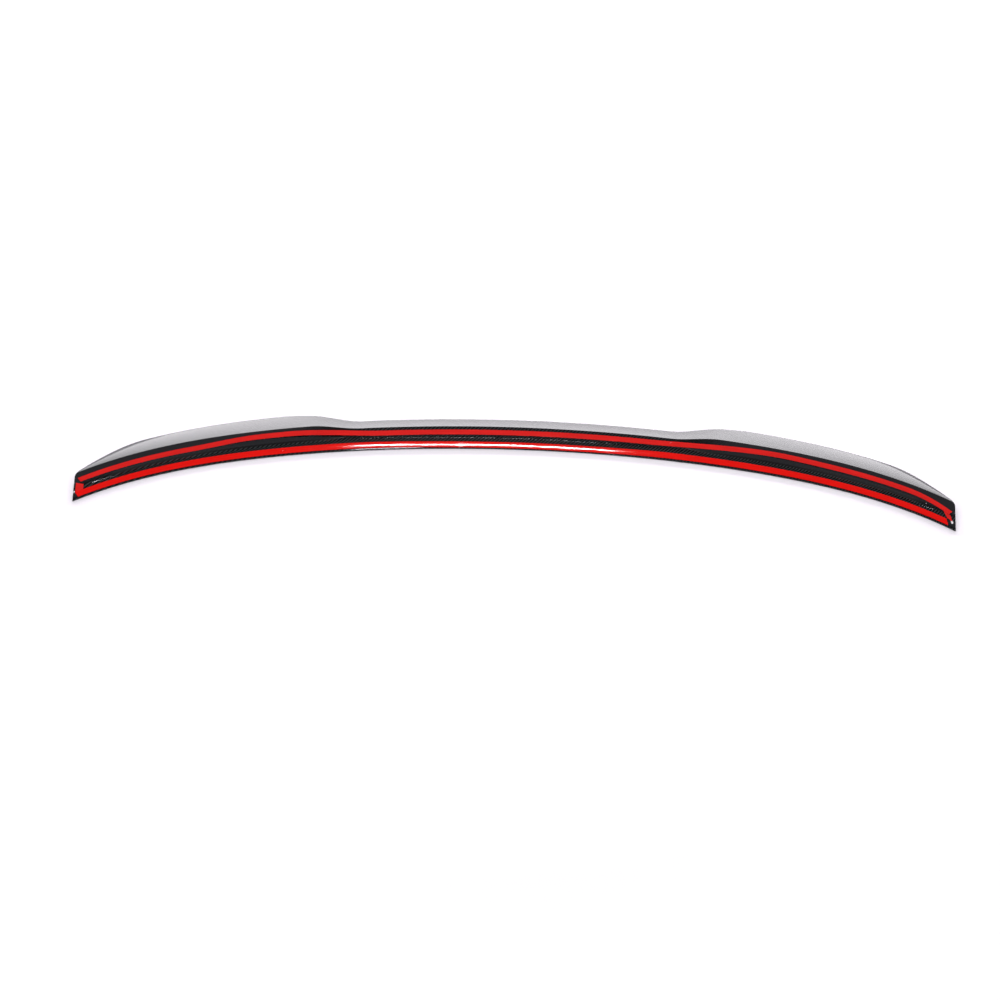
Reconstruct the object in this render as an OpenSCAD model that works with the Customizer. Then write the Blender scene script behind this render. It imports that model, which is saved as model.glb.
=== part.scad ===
// Boot-lid lip spoiler with its mounting tape, lying upside down as it rests before fitting.
// +X to the right, +Y towards the lip that faces rearward on the car, +Z up.
// The front edge and the two raised wings of the lip touch the surface at z = 0.

/* [Plan] */
// Overall length from tip to tip
length = 1180; // [1080:5:1300]
// How far the even bow of the front edge sets the tips back from its middle
bow = 80.5; // [40:0.5:120]
// How much further the last stretch of each end turns back
tip_sweep = 30.5; // [0:0.5:60]

/* [Base flange] */
// Angle of the taped base above the surface that the spoiler lies on
base_tilt = 20; // [16:0.5:24]
// Thickness of the rounded front edge
edge_t = 2.3; // [1.8:0.1:3]
// Width that the base gains from the centre to the wings
flare = 7.2; // [3:0.1:11]
// Half of the narrow centre section, to where the base starts to widen
centre_half = 212; // [170:1:250]
// Length over which the base widens
flare_len = 70; // [50:1:100]
// Width left behind the rear tape in the centre
rear_margin = 5.1; // [3:0.1:8]
// Rounding of the base's rear edge
rear_edge_r = 0.8; // [0.4:0.1:1.2]
// Rounding in plan of the rear corner at each tip
corner_r = 4.5; // [2:0.5:4.5]
// Rounding of the edges of the end faces
end_round = 0.7; // [0.2:0.1:0.8]

/* [Lip] */
// Length of the rear face in the centre, from the base's edge to the lip
face_mid = 19.3; // [15:0.1:24]
// Length of the rear face in the wings
face_wing = 33.9; // [28:0.1:40]
// Length of the rear face at the tips
face_end = 0.8; // [0.6:0.1:4]
// Length over which the lip kicks out, from where the base starts to widen
lip_kick = 113; // [80:1:150]
// Length over which the lip runs out at each tip
run_out = 82; // [50:1:110]
// Radius of the lip's nose
lip_r = 1.1; // [0.8:0.1:1.4]
// Hollow of the top skin below a straight line from edge to lip
skin_hollow = 2; // [0.5:0.1:2.6]

/* [Groove] */
// Width of the groove's front wall in the centre
front_wall_mid = 7; // [5:0.1:9]
// Width of the groove's front wall in the wings
front_wall_wing = 5; // [4:0.1:8]
// Width of the groove's rear wall in the centre
rear_wall_mid = 1.8; // [1.4:0.1:4]
// Depth of the groove in the centre
depth_mid = 3; // [1:0.1:3.4]
// Depth of the groove in the wings
depth_wing = 4.5; // [2:0.1:4.8]
// Half of the stretch where the groove's rear edge still runs straight
bend_start = 175; // [150:1:220]
// Length of the bend in the groove's rear edge, easier than the base's own
bend_len = 165; // [110:1:180]
// How far from the middle the groove's rear edge starts to drift forward
drift_from = 340; // [320:1:360]
// Length over which it drifts
drift_len = 110; // [80:1:130]
// How far it drifts
drift = 2.8; // [0:0.1:3]
// Distance from each tip to where the groove has run out
groove_stop = 17; // [10:1:25]
// Length over which the groove runs out
groove_fade = 44; // [30:1:60]

/* [Tape] */
// Width of the front tape
front_tape_w = 7.7; // [6:0.1:8.6]
// Width of the rear tape
rear_tape_w = 6.6; // [5:0.1:8.4]
// Thickness of the tape's foam
foam_t = 0.9; // [0.5:0.05:1.6]
// Thickness of the release liner
liner_t = 0.12; // [0.08:0.02:0.3]
// How far the liner stands past the foam on each side
liner_over = 0.2; // [0:0.05:0.25]
// Gap between the front tape and the groove
front_tape_gap = 0.55; // [0.25:0.05:1]
// Gap between the groove and the rear tape in the centre
rear_tape_gap = 1.2; // [0.9:0.05:1.5]
// Flat left in front of the front tape in the centre
front_margin_mid = 0.65; // [0:0.05:2]
// Flat left in front of the front tape in the wings
front_margin_wing = 2.05; // [0:0.05:3]
// Length of the rear tape's bend on the left
left_bend_len = 135; // [110:1:180]
// Length of the rear tape's bend on the right
right_bend_len = 200; // [150:1:220]
// How far from the middle the rear tape starts to drift forward on the left
left_drift_from = 350; // [330:1:370]
// Length over which it drifts on the left
left_drift_len = 90; // [80:1:120]
// How far it drifts on the left
left_drift = 3.6; // [0:0.1:3.8]
// How far from the middle the rear tape starts to drift forward on the right
right_drift_from = 330; // [310:1:360]
// Length over which it drifts on the right
right_drift_len = 110; // [80:1:130]
// How far it drifts on the right
right_drift = 1.5; // [0:0.1:3]
// How far the rear tape turns in at the right tip
right_turn = 9.5; // [0:0.1:10]

/* [Tape ends] */
// Distance from the left tip to the front tape's far corner
front_left_end = 3; // [2:0.5:15]
// Distance from the right tip to the front tape's far corner
front_right_end = 10; // [2:0.5:15]
// Distance from each tip to the rear tape's far corner
rear_tape_end = 4.5; // [2:0.5:15]
// How far the cut across the end of a tape slants
cut_slant = 4.5; // [0:0.5:6]
// Distance from the left tip to the left end tape
left_end_inset = 3.2; // [2.5:0.1:8]
// Width of the left end tape
left_end_w = 9.4; // [6:0.1:10]
// Length of the left end tape, measured along its outer side
left_end_len = 12.6; // [9:0.1:13]
// Distance from the right tip to the right end tape
right_end_inset = 4.6; // [3:0.1:8]
// Width of the right end tape
right_end_w = 8.4; // [6:0.1:10]
// Length of the right end tape
right_end_len = 6.2; // [4:0.1:7]
// Gap between an end tape and its neighbours
end_gap = 0.5; // [0.45:0.05:1]

/* [Hidden] */
half = length / 2;
edge_r = edge_t / 2;
margin_from = 80;
margin_to = 220;
turn_len = 60;
crease_round = 0.12;
nose_steps = 5;
edge_steps = 3;
skin_steps = 10;

// The base is a plane that rises from the front edge. A place on it is given by s, the distance
// from the front edge up the slope, and n, the height off the plane.
base_z0 = edge_r * (1 + 1 / cos(base_tilt) - tan(base_tilt));
flat_from = edge_r * (1 - sin(base_tilt)) / cos(base_tilt);

// Distances up the slope in the centre, from the front edge to the rear one
groove_front_mid = flat_from + front_margin_mid + front_tape_w + front_tape_gap;
groove_rear_mid = groove_front_mid + front_wall_mid + rear_wall_mid;
base_mid = groove_rear_mid + rear_tape_gap + rear_tape_w + rear_margin;
base_wing = base_mid + flare;

// The slope of the rear face lets the lips of both wings touch the surface
wing_edge_z = base_z0 + base_wing * sin(base_tilt);
face_tilt = asin((wing_edge_z - lip_r) / norm([lip_r, face_wing])) - atan2(lip_r, face_wing);

// The origin is the middle of the bottom of the bounding box
tip_y = set_back(half - end_round);
lip_y = base_mid * cos(base_tilt) + face_mid * cos(face_tilt) + lip_r * (1 - sin(face_tilt));
y_shift = -(tip_y + lip_y) / 2;

// Where each stretch of a half begins and ends
flare_end = centre_half + flare_len;
kick_end = centre_half + lip_kick;
run_out_x = half - run_out;
corner_x = half - corner_r;
round_x = half - end_round;
groove_end = half - groove_stop;

carbon_black = [0.07, 0.07, 0.08];
foam_grey = [0.16, 0.16, 0.17];
liner_red = [0.86, 0.09, 0.07];

function share(from, to, x) = min(1, max(0, (x - from) / (to - from)));

function ease(from, to, x) = let (t = share(from, to, x)) t * t * (3 - 2 * t);

function mix(a, b, t) = a + (b - a) * t;

function steps(from, to, n) = [for (i = [0 : n - 1]) mix(from, to, i / n)];

// Front edge in plan
function set_back(x) = -bow * pow(x / half, 2) - tip_sweep * pow(x / half, 6);

function front_at(x) = y_shift + set_back(x);

// Rear edge of the base, and the length of the face that falls from it to the lip
function corner_cut(x) =
    let (past = share(corner_x, half, abs(x)))
    corner_r * (1 - sqrt(1 - past * past));

function base_at(x) = base_mid + flare * ease(centre_half, flare_end, abs(x)) - corner_cut(x);

function face_at(x) =
    let (
        a = abs(x),
        kicked = mix(face_mid, face_wing, ease(centre_half, kick_end, a)),
        fade = cos(90 * share(run_out_x, half, a))
    )
    mix(face_end, kicked, fade);

// The lines of the tapes and the groove, as distances up the slope
function front_tape_front(x) =
    flat_from + mix(front_margin_mid, front_margin_wing, ease(margin_from, margin_to, abs(x)));

function front_tape_rear(x) = front_tape_front(x) + front_tape_w;

function groove_front_at(x) = front_tape_rear(x) + front_tape_gap;

function crease_at(x) =
    groove_front_at(x) + mix(front_wall_mid, front_wall_wing, ease(centre_half, flare_end, abs(x)));

// How far a line has moved at x that bends back with the base over one length and drifts
// forward over another
function bent(x, bend, from, over, drifted) =
    flare * ease(bend_start, bend_start + bend, abs(x)) - drifted * ease(from, from + over, abs(x));

function groove_rear_at(x) = groove_rear_mid + bent(x, bend_len, drift_from, drift_len, drift);

function groove_depth_at(x) =
    mix(depth_mid, depth_wing, ease(centre_half, flare_end, abs(x)))
    * (1 - ease(groove_end - groove_fade, groove_end, abs(x)));

// The rear tape was laid by hand, so its halves differ
function rear_tape_front(x) =
    groove_rear_mid + rear_tape_gap + (
        x < 0
        ? bent(x, left_bend_len, left_drift_from, left_drift_len, left_drift)
        : bent(x, right_bend_len, right_drift_from, right_drift_len, right_drift)
            - right_turn * pow(share(half - turn_len, half, x), 2)
    );

function rear_tape_rear(x) = rear_tape_front(x) + rear_tape_w;

// A place on the base, as y and z measured from the front edge of its station
function on_base(s, n) = [
    s * cos(base_tilt) - n * sin(base_tilt),
    base_z0 + s * sin(base_tilt) + n * cos(base_tilt)
];

function place(x, p) = [x, p[0] + front_at(x), p[1]];

function arc(centre, r, from, to, n) =
    [for (i = [0 : n]) let (a = mix(from, to, i / n)) centre + r * [cos(a), sin(a)]];

// The groove across the base: two walls that meet in a softened crease
function groove_points(x) =
    let (
        front = groove_front_at(x),
        crease = crease_at(x),
        rear = groove_rear_at(x),
        depth = groove_depth_at(x)
    )
    [
        on_base(front, 0),
        on_base(mix(crease, front, crease_round), -depth * (1 - crease_round)),
        on_base(crease, -depth * (1 - crease_round / 2)),
        on_base(mix(crease, rear, crease_round), -depth * (1 - crease_round)),
        on_base(rear, 0)
    ];

// The hollow top skin, which faces the surface that the spoiler lies on
function skin_points(from, to, hollow) = [
    for (i = [1 : skin_steps - 1])
    let (t = i / skin_steps)
    mix(from, to, t) + [0, 4 * hollow * t * (1 - t)]
];

// Closed outline of the shell at one station, from the bottom of the front edge over the base
function section(x) =
    let (
        front = [edge_r, edge_r],
        corner = on_base(base_at(x), 0),
        rear = corner - rear_edge_r * (
            tan((base_tilt + face_tilt) / 2) * [cos(base_tilt), sin(base_tilt)]
            + [-sin(base_tilt), cos(base_tilt)]
        ),
        lip = corner + face_at(x) * [cos(face_tilt), -sin(face_tilt)]
            - lip_r * [sin(face_tilt), cos(face_tilt)],
        hollow = skin_hollow * face_at(x) / face_wing
    )
    concat(
        arc(front, edge_r, -90, base_tilt - 270, nose_steps),
        groove_points(x),
        arc(rear, rear_edge_r, 90 + base_tilt, 90 - face_tilt, edge_steps),
        arc(lip, lip_r, 90 - face_tilt, -90, nose_steps),
        skin_points(lip - [0, lip_r], front - [0, edge_r], hollow)
    );

// The outline moved inwards by d, for the rounded end faces
function inset(outline, d) =
    let (n = len(outline))
    [
        for (i = [0 : n - 1])
        let (chord = outline[(i + 1) % n] - outline[(i + n - 1) % n])
        outline[i] + d * [chord[1], -chord[0]] / norm(chord)
    ];

function shell_ring(x, d) = [for (p = inset(section(x), d)) place(x, p)];

// Stations of the right half, closer together where the form changes
half_stations = concat(
    steps(0, centre_half, 10),
    steps(centre_half, kick_end, 13),
    steps(kick_end, run_out_x, 9),
    steps(run_out_x, corner_x, 10),
    steps(corner_x, round_x, 3),
    [round_x]
);
round_angles = [30, 60, 90];
right_rings = concat(
    [for (x = half_stations) [x, 0]],
    [for (a = round_angles) [half - end_round * (1 - sin(a)), end_round * (1 - cos(a))]]
);
rings = concat(
    [for (i = [len(right_rings) - 1 : -1 : 1]) [-right_rings[i][0], right_rings[i][1]]],
    right_rings
);

// One closed skin over cross-sections that all have the same number of points
module loft(sections) {
    m = len(sections[0]);
    last = len(sections) - 1;
    sides = [
        for (k = [0 : last - 1])
        for (i = [0 : m - 1])
        let (a = k * m + i, b = k * m + (i + 1) % m)
        each [[a, b, b + m], [a, b + m, a + m]]
    ];
    caps = [
        [for (i = [m - 1 : -1 : 0]) i],
        [for (i = [0 : m - 1]) last * m + i]
    ];
    polyhedron(points = [for (s = sections) each s], faces = concat(sides, caps));
}

// A strip on the base between two lines. ends holds the x of its corners: front left, rear left,
// front right, rear right. The strip takes the shell's own stations, so that it seats flat.
module strip(ends, front_line, rear_line, low, high, over) {
    left = max(ends[0], ends[1]);
    right = min(ends[2], ends[3]);
    pairs = concat(
        [[ends[0] - over, ends[1] - over]],
        [for (r = rings) if (r[0] > left + over && r[0] < right - over) [r[0], r[0]]],
        [[ends[2] + over, ends[3] + over]]
    );
    loft([
        for (p = pairs)
        let (front = front_line(p[0]) - over, rear = rear_line(p[1]) + over)
        [
            place(p[0], on_base(front, low)),
            place(p[0], on_base(front, high)),
            place(p[1], on_base(rear, high)),
            place(p[1], on_base(rear, low))
        ]
    ]);
}

module foam(ends, front_line, rear_line) {
    color(foam_grey) strip(ends, front_line, rear_line, 0, foam_t, 0);
}

module liner(ends, front_line, rear_line) {
    color(liner_red) strip(ends, front_line, rear_line, foam_t, foam_t + liner_t, liner_over);
}

// The four pieces of tape: the x of their corners, and the lines that they follow
front_ends = [
    front_left_end + cut_slant - half,
    front_left_end - half,
    half - front_right_end,
    half - front_right_end - cut_slant / 2
];
front_line = function(x) front_tape_front(x);
front_far_line = function(x) front_tape_rear(x);

rear_ends = [
    rear_tape_end + cut_slant - half,
    rear_tape_end - half,
    half - rear_tape_end - cut_slant,
    half - rear_tape_end
];
rear_line = function(x) rear_tape_front(x);
rear_far_line = function(x) rear_tape_rear(x);

left_x = left_end_inset - half;
left_ends = [left_x, left_x, left_x + left_end_w, left_x + left_end_w];
left_line = function(x) front_tape_rear(x) + end_gap;
left_far_line = function(x)
    left_line(left_x) + left_end_len + (front_at(left_x) - front_at(x)) / cos(base_tilt);

right_x = half - right_end_inset;
right_ends = [
    right_x - right_end_w + cut_slant / 2,
    right_x - right_end_w - cut_slant / 2,
    right_x,
    right_x - cut_slant / 2
];
right_far_line = function(x) rear_tape_front(x) - end_gap;
right_line = function(x) right_far_line(x) - right_end_len;

module spoiler_shell() {
    color(carbon_black) loft([for (r = rings) shell_ring(r[0], r[1])]);
}

module front_tape_foam() {
    foam(front_ends, front_line, front_far_line);
}

module front_tape_liner() {
    liner(front_ends, front_line, front_far_line);
}

module rear_tape_foam() {
    foam(rear_ends, rear_line, rear_far_line);
}

module rear_tape_liner() {
    liner(rear_ends, rear_line, rear_far_line);
}

module left_end_tape_foam() {
    foam(left_ends, left_line, left_far_line);
}

module left_end_tape_liner() {
    liner(left_ends, left_line, left_far_line);
}

module right_end_tape_foam() {
    foam(right_ends, right_line, right_far_line);
}

module right_end_tape_liner() {
    liner(right_ends, right_line, right_far_line);
}

spoiler_shell();
front_tape_foam();
front_tape_liner();
rear_tape_foam();
rear_tape_liner();
left_end_tape_foam();
left_end_tape_liner();
right_end_tape_foam();
right_end_tape_liner();
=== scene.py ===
import math

import bmesh
import bpy
from bpy.props import FloatProperty, FloatVectorProperty, PointerProperty
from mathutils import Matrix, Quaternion, Vector, noise


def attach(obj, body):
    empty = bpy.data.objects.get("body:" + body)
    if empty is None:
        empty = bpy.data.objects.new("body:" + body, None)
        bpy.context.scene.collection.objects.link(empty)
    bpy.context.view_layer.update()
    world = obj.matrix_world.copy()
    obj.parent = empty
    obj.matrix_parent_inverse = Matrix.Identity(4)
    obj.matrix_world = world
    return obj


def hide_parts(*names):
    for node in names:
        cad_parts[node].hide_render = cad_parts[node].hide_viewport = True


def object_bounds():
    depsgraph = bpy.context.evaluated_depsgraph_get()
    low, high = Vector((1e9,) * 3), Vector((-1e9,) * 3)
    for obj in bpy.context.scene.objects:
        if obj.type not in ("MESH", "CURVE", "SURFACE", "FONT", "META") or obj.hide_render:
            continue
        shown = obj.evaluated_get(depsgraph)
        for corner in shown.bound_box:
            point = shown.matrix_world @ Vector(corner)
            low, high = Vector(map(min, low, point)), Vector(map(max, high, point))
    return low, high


bl_info = {
    "name": "Boot-lid spoiler",
    "version": (1, 0, 0),
    "blender": (4, 5, 0),
    "location": "View3D > Sidebar > Spoiler",
    "description": "Dresses a carbon-fibre boot-lid spoiler that lies upside down with its mounting tape on",
    "category": "Object",
}

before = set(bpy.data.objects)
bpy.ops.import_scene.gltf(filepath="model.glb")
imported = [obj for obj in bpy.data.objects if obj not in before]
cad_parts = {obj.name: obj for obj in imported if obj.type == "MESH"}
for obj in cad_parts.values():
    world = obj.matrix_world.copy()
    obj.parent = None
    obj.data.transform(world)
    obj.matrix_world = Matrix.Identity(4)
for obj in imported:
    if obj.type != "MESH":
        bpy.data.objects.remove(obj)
CAD_LOW, CAD_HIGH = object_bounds()
BODY = "root"
WEAVE_MAP = "weave"
WEAVE_SHEEN = "painted_weave_sheen"


def size(name, description, default):
    """A length in metres that shows in the panel."""
    return FloatProperty(name=name, description=description, default=default, unit="LENGTH", precision=5)


def angle(name, description, degrees):
    return FloatProperty(name=name, description=description, default=math.radians(degrees), subtype="ANGLE")


def number(name, description, default):
    return FloatProperty(name=name, description=description, default=default, precision=4)


def colour(name, description, default):
    return FloatVectorProperty(
        name=name, description=description, default=default, subtype="COLOR", size=3, min=0, max=1
    )


class ShellSizes(bpy.types.PropertyGroup):
    """Driving dimensions of the moulding, the same as the frame's own, and the finer forms that only
    the smooth skin has: the bulges, the eased edge and the soft folds."""

    length: size("Length", "From tip to tip", CAD_HIGH.x - CAD_LOW.x)
    bow: size("Bow", "How far the even bow of the front edge sets the tips back", 0.0805)
    tip_sweep: size("Tip sweep", "How much further the last stretch of each end turns back", 0.0305)
    base_tilt: angle("Base tilt", "Angle of the taped base above the floor", 20)
    edge_thickness: size("Edge thickness", "Thickness of the rounded front edge", 0.0023)
    edge_ease: angle("Edge ease", "Last stretch of the front edge's rounding, which runs out on the flat", 18)
    flare: size("Flare", "Width that the base gains from the centre to the wings", 0.0072)
    centre_half: size("Centre half", "Half of the narrow centre section", 0.212)
    flare_length: size("Flare length", "Length over which the base widens", 0.07)
    rear_margin: size("Rear margin", "Width left behind the rear tape in the centre", 0.0051)
    rear_edge_radius: size("Rear edge radius", "Rounding of the base's rear edge", 0.0008)
    corner_radius: size("Corner radius", "Rounding in plan of the rear corner at each tip", 0.0045)
    end_round: size("End rounding", "Rounding of the edges of the end faces", 0.0007)
    face_mid: size("Rear face, centre", "From the base's edge to the lip in the centre", 0.0193)
    face_wing: size("Rear face, wings", "From the base's edge to the lip in the wings", 0.0339)
    face_end: size("Rear face, tips", "From the base's edge to the lip at the tips", 0.0008)
    lip_kick: size("Lip kick", "Length over which the lip kicks out", 0.113)
    bulge_mid: size("Face bulge, centre", "How far the rear face bulges out in the centre", -0.0002)
    bulge_wing: size("Face bulge, wings", "How far the rear face bulges out in the wings", 0.0001)
    bulge_tip: size("Face bulge, tips", "How much more it would bulge at the tips at its full width", 0.00042)
    run_out: size("Run-out", "Length over which the lip runs out at each tip", 0.082)
    lip_radius: size("Lip radius", "Radius of the lip's nose", 0.0011)
    skin_hollow: size("Skin hollow", "Hollow of the top skin below a straight line", 0.002)
    front_wall_mid: size("Front wall, centre", "Width of the groove's front wall in the centre", 0.007)
    front_wall_wing: size("Front wall, wings", "Width of the groove's front wall in the wings", 0.005)
    rear_wall_mid: size("Rear wall, centre", "Width of the groove's rear wall in the centre", 0.0018)
    depth_mid: size("Groove depth, centre", "Depth of the groove in the centre", 0.003)
    depth_wing: size("Groove depth, wings", "Depth of the groove in the wings", 0.0045)
    bend_start: size("Bend start", "Half of the stretch where the groove's rear edge is straight", 0.175)
    bend_length: size("Bend length", "Length of the bend in the groove's rear edge", 0.165)
    drift_from: size("Drift start", "From the middle to where the groove's rear edge drifts forward", 0.34)
    drift_length: size("Drift length", "Length over which it drifts", 0.11)
    drift: size("Drift", "How far it drifts", 0.0028)
    groove_stop: size("Groove stop", "From each tip to where the groove has run out", 0.017)
    groove_fade: size("Groove fade", "Length over which the groove runs out", 0.044)
    groove_softness: size("Groove softness", "Reach of the rounding at the groove's folds", 0.0006)
    station_pitch: size("Station pitch", "Spacing of the sections along the moulding", 0.004)


class TapeSizes(bpy.types.PropertyGroup):
    """Sizes of the mounting tape and its liner, the lines that they follow, and the film's crown,
    lean and crinkles."""

    front_width: size("Front width", "Width of the front tape", 0.0077)
    rear_width: size("Rear width", "Width of the rear tape", 0.0066)
    foam: size("Foam", "Thickness of the foam", 0.0009)
    film: size("Film", "Thickness of the release liner", 0.00012)
    overhang: size("Overhang", "How far the liner stands past the foam", 0.0002)
    front_gap: size("Front gap", "Between the front tape and the groove", 0.00055)
    rear_gap: size("Rear gap", "Between the groove and the rear tape in the centre", 0.0012)
    margin_mid: size("Front margin, centre", "Flat left in front of the front tape in the centre", 0.00065)
    margin_wing: size("Front margin, wings", "Flat left in front of the front tape in the wings", 0.00205)
    left_bend: size("Left bend", "Length of the rear tape's bend on the left", 0.135)
    right_bend: size("Right bend", "Length of the rear tape's bend on the right", 0.2)
    left_drift_from: size("Left drift start", "From the middle to where the rear tape drifts forward", 0.35)
    left_drift_length: size("Left drift length", "Length over which it drifts on the left", 0.09)
    left_drift: size("Left drift", "How far it drifts on the left", 0.0036)
    right_drift_from: size("Right drift start", "From the middle to where it drifts on the right", 0.33)
    right_drift_length: size("Right drift length", "Length over which it drifts on the right", 0.11)
    right_drift: size("Right drift", "How far it drifts on the right", 0.0015)
    right_turn: size("Right turn", "How far the rear tape turns in at the right tip", 0.0095)
    front_left_end: size("Front tape, left end", "From the left tip to the front tape", 0.003)
    front_right_end: size("Front tape, right end", "From the right tip to the front tape", 0.010)
    rear_end: size("Rear tape ends", "From each tip to the rear tape", 0.0045)
    cut_slant: size("Cut slant", "How far the cut across the end of a tape slants", 0.0045)
    left_inset: size("Left piece inset", "From the left tip to the left end tape", 0.0032)
    left_width: size("Left piece width", "Width of the left end tape", 0.0094)
    left_length: size("Left piece length", "Length of the left end tape", 0.0126)
    right_inset: size("Right piece inset", "From the right tip to the right end tape", 0.0046)
    right_width: size("Right piece width", "Width of the right end tape", 0.0084)
    right_length: size("Right piece length", "Length of the right end tape", 0.0062)
    end_gap: size("End gap", "Gap between an end tape and its neighbours", 0.0005)
    front_crown: size("Front crown", "How far the front film stands up along its middle", 0.000115)
    rear_crown: size("Rear crown", "How far the other films stand up along their middle", 0.00005)
    front_lean: size("Front lean", "How much higher the rear edge of the front film lies", 0.00026)
    rear_lean: size("Rear lean", "How much lower the rear edge of the other films lies", 0.00014)
    ripple: size("Ripple", "Height of the long ripples in the film", 0.000013)
    pucker: size("Pucker", "Height of the puckers near the cut ends", 0.00005)
    crinkle: size("Crinkle", "Height of the crinkles in the right end piece", 0.00022)


class FinishLooks(bpy.types.PropertyGroup):
    """Colours and textures of the lacquered fibre, the films, the foam and the beads."""

    tow: size("Tow width", "Width of one tow of the 2x2 twill", 0.0013)
    # Warp and weft paint the sheen of the tows: the weft lit, the warp dark. The third colour is the even
    # dark tone painted where the weave is shown catching no light.
    warp_colour: colour("Warp", "Tows that run across the moulding", (0.001, 0.001, 0.0011))
    weft_colour: colour("Weft", "Tows that run along the moulding", (0.041, 0.048, 0.050))
    unlit_weave_colour: colour("Resin", "Dark resin where the weave hardly shows", (0.0165, 0.017, 0.019))
    tow_relief: size("Tow relief", "Height of the weave under the lacquer", 0.00012)
    lacquer_wave: size("Lacquer wave", "Height of the slow waves in the lacquer", 0.00001)
    film_colour: colour("Liner", "Colour of the front length of release liner", (0.755, 0.0085, 0.006))
    # The other lengths are the same liner: their less saturated, darker red is a painted reflection of the
    # sheen that they catch
    sheened_film_colour: colour("Duller liner", "Colour of the other lengths", (0.655, 0.017, 0.015))
    foam_colour: colour("Foam", "Colour of the tape's foam", (0.028, 0.028, 0.03))
    # White of the beads: a painted glint on most, the colour of white specks on the rest
    glint_and_dust_colour: colour("Bead", "Colour of the dried beads and specks", (0.86, 0.86, 0.87))


class StageSizes(bpy.types.PropertyGroup):
    """Camera, paper floor and the light of the studio's walls."""

    target: FloatVectorProperty(
        name="Target", description="Point on the floor that the camera looks at",
        default=(-0.01653, -0.05278, 0.0), unit="LENGTH", size=3, precision=5,
    )
    azimuth: angle("Azimuth", "Turn of the camera about the vertical", 2.357)
    elevation: angle("Elevation", "Height of the camera above the horizon", 55)
    distance: size("Distance", "From the target to the camera", 2.495)
    lens: number("Lens", "Focal length in millimetres on a 36 mm sensor", 66.857)
    floor_size: size("Floor", "Side of the square floor", 12.0)
    floor_colour: colour("Floor colour", "Paper of the floor", (0.72, 0.703, 0.73))
    floor_lift: number("Floor lift", "Light added to the paper as the camera sees it", 0.145)
    wall_light: number("Wall light", "Strength of the studio walls at the horizon", 0.5)
    ceiling_light: number("Ceiling light", "Strength of the dark ceiling", 0.03)
    rear_light: number("Rear light", "Strength of the pale wall behind the spoiler", 4.9)


def share(start, end, x):
    """How far x is from start to end, kept between 0 and 1."""
    return min(1.0, max(0.0, (x - start) / (end - start)))


def ease(start, end, x):
    t = share(start, end, x)
    return t * t * (3 - 2 * t)


def mix(a, b, t):
    return a + (b - a) * t


def spread(start, end, count):
    """Evenly spaced values from start up to but without end."""
    return [mix(start, end, i / count) for i in range(count)]


def arc(centre, radius, start, end, count):
    """Points of an arc, angles in radians."""
    turns = [mix(start, end, i / count) for i in range(count + 1)]
    return [centre + radius * Vector((math.cos(a), math.sin(a))) for a in turns]


def softened(before, corner, after, reach, count):
    """A corner rounded over the same reach on both of its legs."""
    near = corner + (before - corner).normalized() * reach
    far = corner + (after - corner).normalized() * reach
    return [near.lerp(corner, t).lerp(corner.lerp(far, t), t) for t in spread(0, 1, count)] + [far]


# Stretches along which the tapes' lines change, in metres from the middle
MARGIN_FROM = 0.08
MARGIN_TO = 0.22
TURN_LENGTH = 0.06

# Where the weave's sheen is painted, as if its tows caught the light: around the middle, and from the
# groove's front edge to just past its crease
CENTRE_WEAVE = 0.85
CENTRE_SPAN = (0.19, 0.3)
WALL_SPAN = (-0.0005, 0.0003)
SHEEN_FADE_SPAN = (0.0012, 0.0048)

# How finely the section and the ends are drawn, and where points lie on the straight stretches
NOSE_COUNT = 12
EDGE_COUNT = 8
FOLD_COUNT = 5
SKIN_COUNT = 22
CORNER_COUNT = 9
ROUND_COUNT = 5
RIM_STEPS = (0.075, 0.35, 0.65)
FLAT_STEPS = (0.04, 0.35, 0.65)
WALL_STEPS = (0.08, 0.2, 0.32, 0.44, 0.56)
FACE_STEPS = (0.03, 0.12, 0.25, 0.4, 0.55, 0.7, 0.85, 0.97)


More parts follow.
